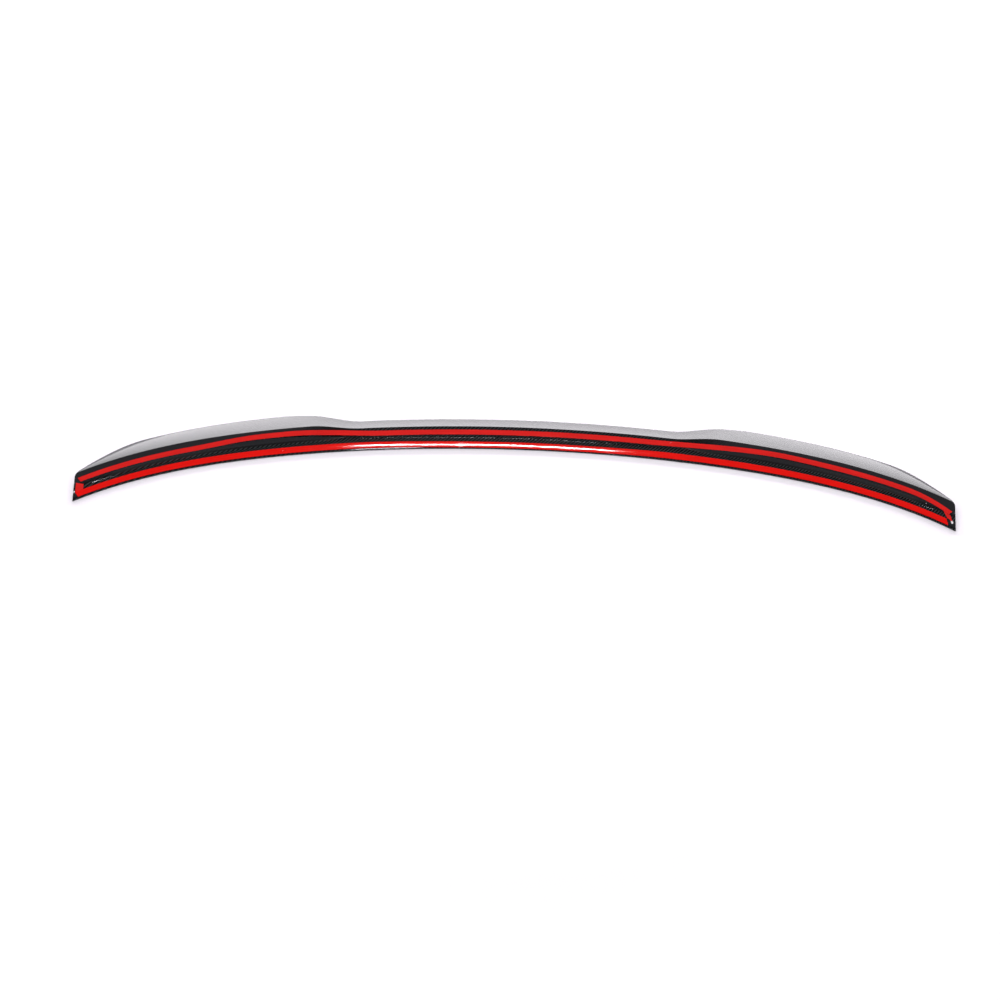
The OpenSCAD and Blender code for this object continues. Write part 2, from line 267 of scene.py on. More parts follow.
class SpoilerForm:
    """The lines of the moulding. A place on its base is given by s, the distance from the front
    edge up the slope, and n, the height off the base; a section is in y and z from the front edge."""

    def __init__(self, shell, tape):
        self.shell = shell
        self.tape = tape
        self.half = shell.length / 2
        self.edge_radius = shell.edge_thickness / 2
        cos, sin = math.cos(shell.base_tilt), math.sin(shell.base_tilt)
        self.cos_tilt = cos
        self.up = Vector((cos, sin))
        self.off = Vector((-sin, cos))
        self.base_z = self.edge_radius * (1 + (1 - sin) / cos)
        self.flat_from = self.edge_radius * (1 - sin) / cos
        groove_front_mid = self.flat_from + tape.margin_mid + tape.front_width + tape.front_gap
        self.groove_rear_mid = groove_front_mid + shell.front_wall_mid + shell.rear_wall_mid
        self.base_mid = self.groove_rear_mid + tape.rear_gap + tape.rear_width + shell.rear_margin
        wing_edge_z = self.base_z + (self.base_mid + shell.flare) * sin
        nose, face = shell.lip_radius, shell.face_wing
        self.face_tilt = math.asin((wing_edge_z - nose) / math.hypot(nose, face)) - math.atan2(nose, face)
        self.flare_end = shell.centre_half + shell.flare_length
        self.kick_end = shell.centre_half + shell.lip_kick
        self.groove_end = self.half - shell.groove_stop
        lip_y = (
            self.base_mid * cos
            + shell.face_mid * math.cos(self.face_tilt)
            + nose * (1 - math.sin(self.face_tilt))
        )
        self.shift = -(self.set_back(self.half - shell.end_round) + lip_y) / 2

    def set_back(self, x):
        along = x / self.half
        return -self.shell.bow * along**2 - self.shell.tip_sweep * along**6

    def front_at(self, x):
        return self.shift + self.set_back(x)

    def widened(self, x):
        """How far the base has widened, from 0 in the centre to 1 in the wings."""
        return ease(self.shell.centre_half, self.flare_end, abs(x))

    def kicked(self, x):
        """How far the lip has kicked out, from 0 in the centre to 1 in the wings."""
        return ease(self.shell.centre_half, self.kick_end, abs(x))

    def base_at(self, x):
        past = share(self.half - self.shell.corner_radius, self.half, abs(x))
        cut = self.shell.corner_radius * (1 - math.sqrt(1 - past * past))
        return self.base_mid + self.shell.flare * self.widened(x) - cut

    def face_at(self, x):
        full = mix(self.shell.face_mid, self.shell.face_wing, self.kicked(x))
        fade = math.cos(math.pi / 2 * share(self.half - self.shell.run_out, self.half, abs(x)))
        return mix(self.shell.face_end, full, fade)

    def front_tape_front(self, x):
        margin = mix(self.tape.margin_mid, self.tape.margin_wing, ease(MARGIN_FROM, MARGIN_TO, abs(x)))
        return self.flat_from + margin

    def front_tape_rear(self, x):
        return self.front_tape_front(x) + self.tape.front_width

    def groove_front_at(self, x):
        return self.front_tape_rear(x) + self.tape.front_gap

    def bent(self, x, bend, start, length, drift):
        """How far a line has moved that bends back with the base and drifts forward over a length."""
        back = ease(self.shell.bend_start, self.shell.bend_start + bend, abs(x))
        return self.shell.flare * back - drift * ease(start, start + length, abs(x))

    def groove_rear_at(self, x):
        shell = self.shell
        return self.groove_rear_mid + self.bent(
            x, shell.bend_length, shell.drift_from, shell.drift_length, shell.drift
        )

    def crease_at(self, x):
        wall = mix(self.shell.front_wall_mid, self.shell.front_wall_wing, self.widened(x))
        return self.groove_front_at(x) + wall

    def groove_depth_at(self, x):
        fade = 1 - ease(self.groove_end - self.shell.groove_fade, self.groove_end, abs(x))
        return mix(self.shell.depth_mid, self.shell.depth_wing, self.widened(x)) * fade

    def rear_tape_front(self, x):
        tape = self.tape
        line = self.groove_rear_mid + tape.rear_gap
        if x < 0:
            return line + self.bent(
                x, tape.left_bend, tape.left_drift_from, tape.left_drift_length, tape.left_drift
            )
        turned = tape.right_turn * share(self.half - TURN_LENGTH, self.half, x) ** 2
        return line - turned + self.bent(
            x, tape.right_bend, tape.right_drift_from, tape.right_drift_length, tape.right_drift
        )

    def rear_tape_rear(self, x):
        return self.rear_tape_front(x) + self.tape.rear_width

    def on_base(self, s, n):
        return self.up * s + self.off * n + Vector((0, self.base_z))

    def painted_sheen_at(self, x, s):
        """How strongly the weave's sheen is painted s up the slope, as if its tows caught the light. Most of
        the wings' base gets an even dark tone painted instead.
        """
        if s > self.base_at(x) or s < self.front_tape_front(x):
            return 1.0
        middle = CENTRE_WEAVE * (1 - ease(*CENTRE_SPAN, abs(x)))
        crease = self.crease_at(x)
        wall = ease(*WALL_SPAN, s - self.groove_front_at(x)) * (1 - ease(*SHEEN_FADE_SPAN, s - crease))
        return max(middle, wall)

    def place(self, x, point):
        """A point of a station's section, in the frame."""
        return Vector((x, point.x + self.front_at(x), point.y))

    def groove_points(self, x):
        """The flats of the base and the groove between them, from the front edge to the rear one."""
        reach = self.shell.groove_softness
        front, crease, rear = self.groove_front_at(x), self.crease_at(x), self.groove_rear_at(x)
        edge = self.base_at(x)
        folds = [
            self.on_base(self.flat_from, 0),
            self.on_base(front, 0),
            self.on_base(crease, -self.groove_depth_at(x)),
            self.on_base(rear, 0),
            self.on_base(edge, 0),
        ]
        front_fold, crease_fold, rear_fold = [
            softened(before, fold, after, reach, FOLD_COUNT)
            for before, fold, after in zip(folds, folds[1:], folds[2:])
        ]
        return (
            [self.on_base(mix(self.flat_from, front, t), 0) for t in RIM_STEPS]
            + front_fold
            + crease_fold
            + [crease_fold[-1].lerp(rear_fold[0], t) for t in WALL_STEPS]
            + rear_fold
            + [self.on_base(mix(rear, edge, t), 0) for t in FLAT_STEPS]
        )

    def section(self, x):
        """Outline at one station, from the bottom of the front edge over the base and back to it."""
        nose, lip_nose = self.edge_radius, self.shell.lip_radius
        edge_nose = self.shell.rear_edge_radius
        tilt, face_tilt = self.shell.base_tilt, self.face_tilt
        quarter = math.pi / 2
        front = Vector((nose, nose))
        corner = self.on_base(self.base_at(x), 0)
        rear = corner - edge_nose * (math.tan((tilt + face_tilt) / 2) * self.up + self.off)
        along = Vector((math.cos(face_tilt), -math.sin(face_tilt)))
        out = Vector((math.sin(face_tilt), math.cos(face_tilt)))
        lip = corner + along * self.face_at(x) - out * lip_nose
        hollow = self.shell.skin_hollow * self.face_at(x) / self.shell.face_wing
        bulge = mix(self.shell.bulge_mid, self.shell.bulge_wing, self.kicked(x))
        bulge += self.shell.bulge_tip * share(self.flare_end, self.half, abs(x))
        bulge *= self.face_at(x) / self.shell.face_wing
        rear_arc = arc(rear, edge_nose, quarter + tilt, quarter - face_tilt, EDGE_COUNT)
        lip_arc = arc(lip, lip_nose, quarter - face_tilt, -quarter, NOSE_COUNT)
        skin = [
            lip_arc[-1].lerp(Vector((nose, 0)), t) + Vector((0, 4 * hollow * t * (1 - t)))
            for t in spread(0, 1, SKIN_COUNT)
        ]
        return (
            arc(front, nose, -quarter, tilt - 3 * quarter + self.shell.edge_ease, NOSE_COUNT)
            + self.groove_points(x)
            + rear_arc
            + [rear_arc[-1].lerp(lip_arc[0], t) + out * 4 * bulge * t * (1 - t) for t in FACE_STEPS]
            + lip_arc
            + skin[1:]
            + [Vector((nose, 0))]
        )

    def stations(self):
        """x of each section and how far it is drawn in, from the left tip to the right one."""
        round_x = self.half - self.shell.end_round
        corner_x = self.half - self.shell.corner_radius
        count = round(2 * corner_x / self.shell.station_pitch)
        body = [(x, 0.0) for x in spread(-corner_x, corner_x, count)] + [(corner_x, 0.0)]
        corner_turns = spread(0, math.pi / 2, CORNER_COUNT)[1:]
        corner = [(mix(corner_x, round_x, math.sin(turn)), 0.0) for turn in corner_turns]
        end_turns = spread(0, math.pi / 2, ROUND_COUNT) + [math.pi / 2]
        radius = self.shell.end_round
        rounded = [(round_x + radius * math.sin(turn), radius * (1 - math.cos(turn))) for turn in end_turns]
        end = corner + rounded
        return [(-x, inset) for x, inset in reversed(end)] + body + end


def drawn_in(outline, distance):
    """The outline moved inwards, for the rounded end faces. Its last point repeats its first."""
    ring = outline[:-1]
    moved = []
    for i, point in enumerate(ring):
        chord = ring[(i + 1) % len(ring)] - ring[i - 1]
        moved.append(point + distance * Vector((chord.y, -chord.x)).normalized())
    return moved + moved[:1]


def added(name, data):
    """A new object, put into the scene."""
    made = bpy.data.objects.new(name, data)
    bpy.context.scene.collection.objects.link(made)
    return made


def new_piece(bm, name, material):
    """Turns a finished bmesh, faces outward, into an object that rides on the moulding's body."""
    bmesh.ops.recalc_face_normals(bm, faces=bm.faces)
    mesh = bpy.data.meshes.new(name)
    bm.to_mesh(mesh)
    bm.free()
    mesh.materials.append(material)
    piece = added(name, mesh)
    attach(piece, BODY)
    return piece


def unevenness(x, y, along, across, layer):
    """Smooth noise between -1 and 1, stretched in both directions."""
    return noise.noise(Vector((x * along, y * across, layer)))


def draped_grid(columns, rows, place):
    """A grid whose vertices are laid by place(column, row), which gives a point and its weave position."""
    bm = bmesh.new()
    bmesh.ops.create_grid(bm, x_segments=columns, y_segments=rows, size=0.5)
    bm.verts.ensure_lookup_table()
    weave = {}
    for vert in bm.verts:
        column = round((vert.co.x + 0.5) * columns)
        row = round((vert.co.y + 0.5) * rows)
        vert.co, weave[vert] = place(column, row)
    layer = bm.loops.layers.uv.new(WEAVE_MAP)
    for face in bm.faces:
        face.smooth = True
        for loop in face.loops:
            loop[layer].uv = weave[loop.vert]
    return bm


def node(tree, kind, **settings):
    made = tree.nodes.new(kind)
    for name, value in settings.items():
        setattr(made, name, value)
    return made


def feed(tree, socket, value):
    """Links an output to the socket, or sets the socket's own value."""
    if isinstance(value, bpy.types.NodeSocket):
        tree.links.new(value, socket)
    else:
        socket.default_value = value


def calc(tree, operation, *values):
    """One Math node on the values."""
    made = node(tree, "ShaderNodeMath", operation=operation)
    for socket, value in zip(made.inputs, values):
        feed(tree, socket, value)
    return made.outputs[0]


def join_xyz(tree, x, y, z):
    made = node(tree, "ShaderNodeCombineXYZ")
    for socket, value in zip(made.inputs, (x, y, z)):
        feed(tree, socket, value)
    return made.outputs[0]


def split_xyz(tree, vector):
    made = node(tree, "ShaderNodeSeparateXYZ")
    tree.links.new(vector, made.inputs[0])
    return tuple(made.outputs)


def noise_at(tree, vector, scale, detail=2.0):
    made = node(tree, "ShaderNodeTexNoise")
    feed(tree, made.inputs["Vector"], vector)
    feed(tree, made.inputs["Scale"], scale)
    feed(tree, made.inputs["Detail"], detail)
    return made.outputs["Fac"]


def bump(tree, height, distance, strength=1.0, normal=None):
    made = node(tree, "ShaderNodeBump")
    feed(tree, made.inputs["Height"], height)
    feed(tree, made.inputs["Distance"], distance)
    feed(tree, made.inputs["Strength"], strength)
    if normal is not None:
        feed(tree, made.inputs["Normal"], normal)
    return made.outputs["Normal"]


def scaled_colour(tree, value, factor):
    """A colour multiplied by a factor."""
    made = node(tree, "ShaderNodeVectorMath", operation="SCALE")
    feed(tree, made.inputs[0], value)
    feed(tree, made.inputs["Scale"], factor)
    return made.outputs["Vector"]


def between(tree, limits, value):
    """Runs from the first limit to the second as the value goes from 0 to 1."""
    low, high = limits
    return calc(tree, "MULTIPLY_ADD", value, high - low, low)


def stretched(tree, u, v, scale_u, scale_v, layer):
    """A place for noise that is stretched along or across."""
    return join_xyz(tree, calc(tree, "MULTIPLY", u, scale_u), calc(tree, "MULTIPLY", v, scale_v), layer)


def mixed(tree, factor, first, second):
    """The first vector or colour where the factor is 0, and the second where it is 1."""
    made = node(tree, "ShaderNodeMix", data_type="VECTOR")
    feed(tree, made.inputs["Factor"], factor)
    feed(tree, made.inputs["A"], first)
    feed(tree, made.inputs["B"], second)
    return made.outputs["Result"]


def new_material(name, **constants):
    """A Principled material whose constant sockets are set by name."""
    material = bpy.data.materials.new(name)
    material.use_nodes = True
    tree = material.node_tree
    tree.nodes.clear()
    shader = node(tree, "ShaderNodeBsdfPrincipled")
    out = node(tree, "ShaderNodeOutputMaterial")
    tree.links.new(shader.outputs[0], out.inputs[0])
    for socket, value in constants.items():
        shader.inputs[socket.replace("_", " ")].default_value = value
    return material, tree, shader


# How many tows the weft's waves are shifted by, and how steeply a tow falls off to its sides
WEFT_PHASE = 3.0
TOW_CROWN = 2.4


def twill(tree, u, v):
    """2x2 twill: how high the upper tow stands, and whether it is a warp tow. u and v count tows."""
    column, row = calc(tree, "FLOOR", u), calc(tree, "FLOOR", v)
    waves = []
    for along, across, tow, phase in ((v, u, column, 0.0), (u, v, row, WEFT_PHASE)):
        place = calc(tree, "SUBTRACT", calc(tree, "SUBTRACT", along, tow), phase)
        wave = calc(tree, "COSINE", calc(tree, "MULTIPLY", place, math.pi / 2))
        middle = calc(tree, "SUBTRACT", calc(tree, "FRACT", across), 0.5)
        crown = calc(tree, "MULTIPLY", calc(tree, "MULTIPLY", middle, middle), TOW_CROWN)
        waves.append(calc(tree, "SUBTRACT", wave, crown))
    warp, weft = waves
    return calc(tree, "MAXIMUM", warp, weft), calc(tree, "GREATER_THAN", warp, weft)


# How far the tows sway, and how often over a metre
SWAY = 0.006
SWAY_SCALE = 9.0

# Fibre streaks along and across each tow, and the noise layers of weft and warp
FIBRES_ALONG = 0.4
FIBRES_ACROSS = 9.0
WEFT_LAYER = 0.0
WARP_LAYER = 5.0

# Dimmest and brightest of the streaks, and of a tow from its dips, which get painted shade, to its top
STREAK_RANGE = (0.65, 1.35)
TOW_DIP_SHADE = (0.55, 1.0)

# Painted shade: how much darker the moulding is painted where the painted sheen fades out, most of all along
# the groove just past its crease
CREASE_PAINTED_SHADE = 0.75

# How strongly the weave and the slow waves of the lacquer bend the light, and the waves over a metre
TOW_STRENGTH = 0.6
LACQUER_STRENGTH = 0.5
LACQUER_SCALE = 70.0

# Turn of the fibres' sheen on the weft
WEFT_TURN = 0.25


def carbon_material(looks):
    """Twill carbon fibre under clear gloss lacquer. Its lit weft is painted sheen, shown where the tows are
    taken to catch the light, with an even dark tone painted elsewhere and painted shade where the two meet.
    The weave follows the piece's own UV map, in metres."""
    material, tree, shader = new_material(
        "lacquered_twill", Roughness=0.4, Anisotropic=0.9, Specular_IOR_Level=0.05, Coat_Weight=1.0,
        Coat_Roughness=0.045, Coat_IOR=1.6
    )
    weave = node(tree, "ShaderNodeUVMap", uv_map=WEAVE_MAP).outputs[0]
    across, along, _ = split_xyz(tree, weave)
    sway = calc(tree, "SUBTRACT", noise_at(tree, weave, SWAY_SCALE), 0.5)
    sway = calc(tree, "MULTIPLY", sway, SWAY)
    u = calc(tree, "DIVIDE", calc(tree, "ADD", across, sway), looks.tow)
    v = calc(tree, "DIVIDE", calc(tree, "ADD", along, sway), looks.tow)
    height, is_warp = twill(tree, u, v)
    fibre = mixed(
        tree, is_warp,
        stretched(tree, u, v, FIBRES_ALONG, FIBRES_ACROSS, WEFT_LAYER),
        stretched(tree, u, v, FIBRES_ACROSS, FIBRES_ALONG, WARP_LAYER),
    )
    streak = between(tree, STREAK_RANGE, noise_at(tree, fibre, 1.0))
    tint = mixed(tree, is_warp, tuple(looks.weft_colour), tuple(looks.warp_colour))
    tow = between(tree, TOW_DIP_SHADE, calc(tree, "MAXIMUM", height, 0.0))
    tinted = scaled_colour(tree, tint, calc(tree, "MULTIPLY", streak, tow))
    # Painted sheen: the lit weave where the mask is 1, the even dark tone where it is 0
    shows = node(tree, "ShaderNodeAttribute", attribute_name=WEAVE_SHEEN).outputs["Fac"]
    tinted = mixed(tree, shows, tuple(looks.unlit_weave_colour), tinted)
    # Painted shade, darkest where the mask is half way: just past the crease, and a little across the middle
    # where the sheen is shown at less than full
    painted_crease_band = calc(tree, "MULTIPLY", shows, calc(tree, "SUBTRACT", 1.0, shows))
    shade = calc(tree, "MULTIPLY_ADD", painted_crease_band, -4 * CREASE_PAINTED_SHADE, 1.0)
    feed(tree, shader.inputs["Base Color"], scaled_colour(tree, tinted, shade))
    feed(tree, shader.inputs["Normal"], bump(tree, height, looks.tow_relief, TOW_STRENGTH))
    tangent = node(tree, "ShaderNodeTangent", direction_type="UV_MAP", uv_map=WEAVE_MAP)
    feed(tree, shader.inputs["Tangent"], tangent.outputs[0])
    turned = calc(tree, "MULTIPLY", calc(tree, "SUBTRACT", 1.0, is_warp), WEFT_TURN)
    feed(tree, shader.inputs["Anisotropic Rotation"], turned)
    slow = noise_at(tree, weave, LACQUER_SCALE, detail=1.0)
    feed(tree, shader.inputs["Coat Normal"], bump(tree, slow, looks.lacquer_wave, LACQUER_STRENGTH))
    return material


# Fine lines in the film, drawn out along it, and how dim and bright they make it
DRAWN_ALONG = 14.0
DRAWN_ACROSS = 900.0
LINE_RANGE = (0.665, 0.988)

# Broad clouds over a metre of the film, and how much they brighten it
CLOUD_SCALE = 26.0
CLOUD_SHARE = 0.247

# The foam's grain over a metre, and height and strength of the grain and of the lines in the gloss
GRAIN_SCALE = 1400.0
GRAIN_RELIEF = (0.00001, 0.35)
LINE_RELIEF = (0.00002, 0.1)


def film_material(name, film_colour):
    """Glossy red liner with fine lines along it, through which the foam's grain shows faintly."""
    material, tree, shader = new_material(name, Roughness=0.06, IOR=1.5)
    strip = node(tree, "ShaderNodeUVMap", uv_map=WEAVE_MAP).outputs[0]
    along, across, _ = split_xyz(tree, strip)
    drawn = stretched(tree, along, across, DRAWN_ALONG, DRAWN_ACROSS, 0.0)
    lines = noise_at(tree, drawn, 1.0, detail=3.0)
    clouds = noise_at(tree, strip, CLOUD_SCALE)
    shade = calc(tree, "MULTIPLY_ADD", clouds, CLOUD_SHARE, between(tree, LINE_RANGE, lines))
    feed(tree, shader.inputs["Base Color"], scaled_colour(tree, tuple(film_colour), shade))
    grain = noise_at(tree, strip, GRAIN_SCALE, detail=1.0)
    relief = bump(tree, grain, *GRAIN_RELIEF)
    feed(tree, shader.inputs["Normal"], bump(tree, lines, *LINE_RELIEF, relief))
    return material


# Foam: cells and pale patches over a metre, how dim and bright the patches are, and the cells' relief
CELL_SCALE = 4200.0
PATCH_SCALE = 120.0
PATCH_RANGE = (0.75, 1.25)
CELL_RELIEF = (0.00008, 0.8)


def foam_material(looks):
    """Matt closed-cell foam."""
    material, tree, shader = new_material("cell_foam", Roughness=0.85, Specular_IOR_Level=0.25)
    place = node(tree, "ShaderNodeTexCoord").outputs["Object"]
    cells = node(tree, "ShaderNodeTexVoronoi")
    feed(tree, cells.inputs["Vector"], place)
    feed(tree, cells.inputs["Scale"], CELL_SCALE)
    shade = between(tree, PATCH_RANGE, noise_at(tree, place, PATCH_SCALE))
    feed(tree, shader.inputs["Base Color"], scaled_colour(tree, tuple(looks.foam_colour), shade))
    feed(tree, shader.inputs["Normal"], bump(tree, cells.outputs["Distance"], *CELL_RELIEF))
    return material


# Bead: its clouds over a metre, how dim and bright they are, its pits over a metre and their relief
BEAD_SCALE = 900.0
BEAD_RANGE = (0.9, 1.1)
PIT_SCALE = 1600.0
PIT_RELIEF = (0.00005, 0.5)


def glint_and_dust_material(looks):
    """White beads with a slight gloss: painted glints at the tips and on the films, white specks elsewhere.
    """
    material, tree, shader = new_material("painted_glint_and_dust", Roughness=0.25, Coat_Weight=0.6, Coat_Roughness=0.08)
    place = node(tree, "ShaderNodeTexCoord").outputs["Object"]
    shade = between(tree, BEAD_RANGE, noise_at(tree, place, BEAD_SCALE))
    feed(tree, shader.inputs["Base Color"], scaled_colour(tree, tuple(looks.glint_and_dust_colour), shade))
    feed(tree, shader.inputs["Normal"], bump(tree, noise_at(tree, place, PIT_SCALE), *PIT_RELIEF))
    return material


# Points of the outline closer than this are one point
SEAM_DISTANCE = 1e-7


class SPOILER_OT_shell(bpy.types.Operator):
    """Lays the smooth lacquered moulding over the frame's faceted one"""

    bl_idname = "spoiler.shell"
    bl_label = "Carbon shell"

    def execute(self, context):
        scene = context.scene
        form = SpoilerForm(scene.spoiler_shell, scene.spoiler_tape)
        stations = form.stations()
        sections = [drawn_in(form.section(x), inset) for x, inset in stations]

        runs = []
        for outline in sections:
            run = [0.0]
            for a, b in zip(outline, outline[1:]):
                run.append(run[-1] + (b - a).length)
            runs.append(run)

        def place(column, row):
            x = stations[column][0]
            laid = runs[column][row] + form.front_at(x) / form.cos_tilt
            return form.place(x, sections[column][row]), (x, laid)

        bm = draped_grid(len(stations) - 1, len(sections[0]) - 1, place)
        bmesh.ops.remove_doubles(bm, verts=bm.verts, dist=SEAM_DISTANCE)
        caps = bmesh.ops.holes_fill(bm, edges=[e for e in bm.edges if e.is_boundary], sides=0)["faces"]
        layer = bm.loops.layers.uv[WEAVE_MAP]
        for cap in caps:
            for loop in cap.loops:
                loop[layer].uv = (loop.vert.co.z, loop.vert.co.y)
        # How strongly the weave's sheen is painted at each point
        shows = bm.verts.layers.float.new(WEAVE_SHEEN)
        for vert in bm.verts:
            x, y, z = vert.co
            rise = Vector((y - form.front_at(x), z - form.base_z))
            vert[shows] = form.painted_sheen_at(x, rise.dot(form.up))
        shell = new_piece(bm, "lacquered_shell", carbon_material(scene.spoiler_looks))
        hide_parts("spoiler_shell")
        return {"FINISHED"}


class SPOILER_OT_tape_foam(bpy.types.Operator):
    """Gives the four foam strips their matt foam"""

    bl_idname = "spoiler.tape_foam"
    bl_label = "Tape foam"

    def execute(self, context):
        material = foam_material(context.scene.spoiler_looks)
        for name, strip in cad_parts.items():
            if name.endswith("_foam"):
                strip.data.materials.clear()
                strip.data.materials.append(material)
        return {"FINISHED"}


class Strip:
    """One length of liner: the x of its corners, front left, rear left, front right and rear
    right, and the lines of its front and rear edges as distances up the slope."""

    def __init__(self, corners, front, rear, crown, lean, crinkle=0.0):
        self.corners = corners
        self.front = front
        self.rear = rear
        self.crown = crown
        self.lean = lean
        self.crinkle = crinkle


def strips(form):
    """The four lengths of tape."""
    half, tape = form.half, form.tape
    left = tape.left_inset - half
    right = half - tape.right_inset

    def left_front(x):
        return form.front_tape_rear(x) + tape.end_gap

    def left_rear(x):
        return left_front(left) + tape.left_length + (form.front_at(left) - form.front_at(x)) / form.cos_tilt

    def right_rear(x):
        return form.rear_tape_front(x) - tape.end_gap

    def right_front(x):
        return right_rear(x) - tape.right_length

    front_corners = (
        tape.front_left_end + tape.cut_slant - half,
        tape.front_left_end - half,
        half - tape.front_right_end,
        half - tape.front_right_end - tape.cut_slant / 2,
    )
    rear_corners = (
        tape.rear_end + tape.cut_slant - half,
        tape.rear_end - half,
        half - tape.rear_end - tape.cut_slant,
        half - tape.rear_end,
    )
    left_corners = (left, left, left + tape.left_width, left + tape.left_width)
    right_corners = (
        right - tape.right_width + tape.cut_slant / 2,
        right - tape.right_width - tape.cut_slant / 2,
        right,
        right - tape.cut_slant / 2,
    )
    shallow = (tape.rear_crown, -tape.rear_lean)
    return {
        "front_tape_liner": Strip(
            front_corners, form.front_tape_front, form.front_tape_rear, tape.front_crown, tape.front_lean
        ),
        "rear_tape_liner": Strip(rear_corners, form.rear_tape_front, form.rear_tape_rear, *shallow),
        "left_end_tape_liner": Strip(left_corners, left_front, left_rear, *shallow, tape.pucker),
        "right_end_tape_liner": Strip(right_corners, right_front, right_rear, *shallow, tape.crinkle),
    }


# The film's flat spot: how much of the crown it takes away, where, and over what length
FLAT_SHARE = 0.45
FLAT_X = -0.075
FLAT_REACH = 0.006

# Waves along and across the film for its ripples and its puckers, and the layer of noise of each
RIPPLES = (45, 1.5, 2.0)
PUCKERS = (320, 260, 7.0)

# Added to the puckers' noise, of which only what is above 0 lifts the film
PUCKERED = 0.1

# Distance from a cut end over which the puckers die away
PUCKER_REACH = 0.03

# How finely the film is drawn along and across
FILM_PITCH = 0.0015
FILM_ROWS = 14


class SPOILER_OT_liners(bpy.types.Operator):
    """Lays the glossy red film on the four lengths of tape"""

    bl_idname = "spoiler.liners"
    bl_label = "Release liners"

    def execute(self, context):
        scene = context.scene
        form = SpoilerForm(scene.spoiler_shell, scene.spoiler_tape)
        looks = scene.spoiler_looks
        bright = film_material("red_film", looks.film_colour)
        # The rear and end lengths get the copy with the painted reflection
        sheened_film = film_material("red_film_painted_sheen", looks.sheened_film_colour)
        for name, strip in strips(form).items():
            material = bright if name == "front_tape_liner" else sheened_film
            film = new_piece(self.film_mesh(form, strip), "film_" + name, material)
            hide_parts(name)
        return {"FINISHED"}

    def film_mesh(self, form, strip):
        """A crowned film over one strip, with ripples along it and puckers at its cut ends."""
        tape = form.tape
        over = tape.overhang
        front_left, rear_left, front_right, rear_right = strip.corners
        columns = max(8, round((front_right - front_left) / FILM_PITCH))

        def place(column, row):
            a, b = column / columns, row / FILM_ROWS
            x = mix(mix(front_left, rear_left, b) - over, mix(front_right, rear_right, b) + over, a)
            s = mix(strip.front(x) - over, strip.rear(x) + over, b)
            flattened = FLAT_SHARE * math.exp(-((x - FLAT_X) / FLAT_REACH) ** 2)
            crown = strip.crown * (1 - (2 * b - 1) ** 2) * (1 - flattened)
            end = min(x - min(front_left, rear_left), max(front_right, rear_right) - x)
            pucker = tape.pucker * (1 - ease(0, PUCKER_REACH, end)) + strip.crinkle
            lift = crown + strip.lean * (b if strip.lean > 0 else b - 1)
            lift += tape.ripple * unevenness(x, b, *RIPPLES)
            lift += pucker * max(0.0, unevenness(x, s, *PUCKERS) + PUCKERED)
            n = tape.foam + tape.film + max(0.0, lift)
            return form.place(x, form.on_base(s, n)), (x, s)

        bm = draped_grid(columns, FILM_ROWS, place)
        top = bm.faces[:]
        under = bmesh.ops.extrude_face_region(bm, geom=top, use_keep_orig=True)["geom"]
        for vert in (part for part in under if isinstance(part, bmesh.types.BMVert)):
            x = vert.co.x
            s = Vector((vert.co.y - form.front_at(x), vert.co.z - form.base_z)).dot(form.up)
            vert.co = form.place(x, form.on_base(s, tape.foam))
        kept = set(top)
        for face in bm.faces:
            face.smooth = face in kept
        for edge in bm.edges:
            edge.smooth = all(face.smooth for face in edge.link_faces)
        return bm


# Beads: the two at the tips, the one at the rear tape's right end and the pink one beside the front tape's
# dark dot are painted glints; the other two are white specks
# Place along the moulding, up the slope and off the base, then width, depth and height, in metres
GLINTS_AND_DUST = (
    (0.5853, 0.0100, 0.0, 0.0031, 0.0048, 0.0010),
    (-0.5886, 0.0122, 0.0, 0.0018, 0.0026, 0.0008),
    (0.5530, 0.0206, -0.00076, 0.0011, 0.0012, 0.0003),
    (0.5809, 0.0214, 0.00104, 0.0008, 0.0008, 0.0002),
    (0.2130, 0.0252, 0.00104, 0.0007, 0.0007, 0.0002),
    (-0.3158, 0.0066, 0.00125, 0.0005, 0.0007, 0.0002),
)
# Dark flecks: a dot on the front tape, a nick across it, and on the rear tape one that is painted shade of a
# dimple in the film
GRIT_AND_DENT_SHADE = (
    (-0.3124, 0.0070, 0.00125, 0.0010, 0.0014, 0.0003),
    (-0.3188, 0.0312, 0.00104, 0.0010, 0.0009, 0.0002),
    (0.1203, 0.0059, 0.00122, 0.0006, 0.0020, 0.0003),
)


class SPOILER_OT_flecks(bpy.types.Operator):
    """Puts on the white beads, painted glints at the tips and on the films and white specks elsewhere, and
    the few dark flecks, one of them painted shade
    """

    bl_idname = "spoiler.flecks"
    bl_label = "Beads and flecks"

    def execute(self, context):
        scene = context.scene
        form = SpoilerForm(scene.spoiler_shell, scene.spoiler_tape)
        self.add_flecks(form, "painted_glints_and_dust", GLINTS_AND_DUST, glint_and_dust_material(scene.spoiler_looks))
        self.add_flecks(form, "grit_and_dent_shade", GRIT_AND_DENT_SHADE, foam_material(scene.spoiler_looks))
        return {"FINISHED"}

    def add_flecks(self, form, name, flecks, material):
        """One piece of flattened balls, each sunk to its middle in what it lies on."""
        bm = bmesh.new()
        for x, s, n, wide, deep, high in flecks:
            made = bmesh.ops.create_uvsphere(bm, u_segments=20, v_segments=12, radius=0.5)["verts"]
            for vert in made:
                ball = vert.co.copy()
                spot = form.on_base(s + ball.y * deep, n + ball.z * high)
                vert.co = form.place(x + ball.x * wide, spot)
        for face in bm.faces:
            face.smooth = True
        new_piece(bm, name, material)


# How far below the spoiler the paper lies
FLOOR_CLEARANCE = 2e-5

# Distance on the paper from which its lift grows, by how much for each metre, and by how much at most
FAR_FROM = 0.6
FAR_RISE = 0.5
FAR_LIFT = 0.25

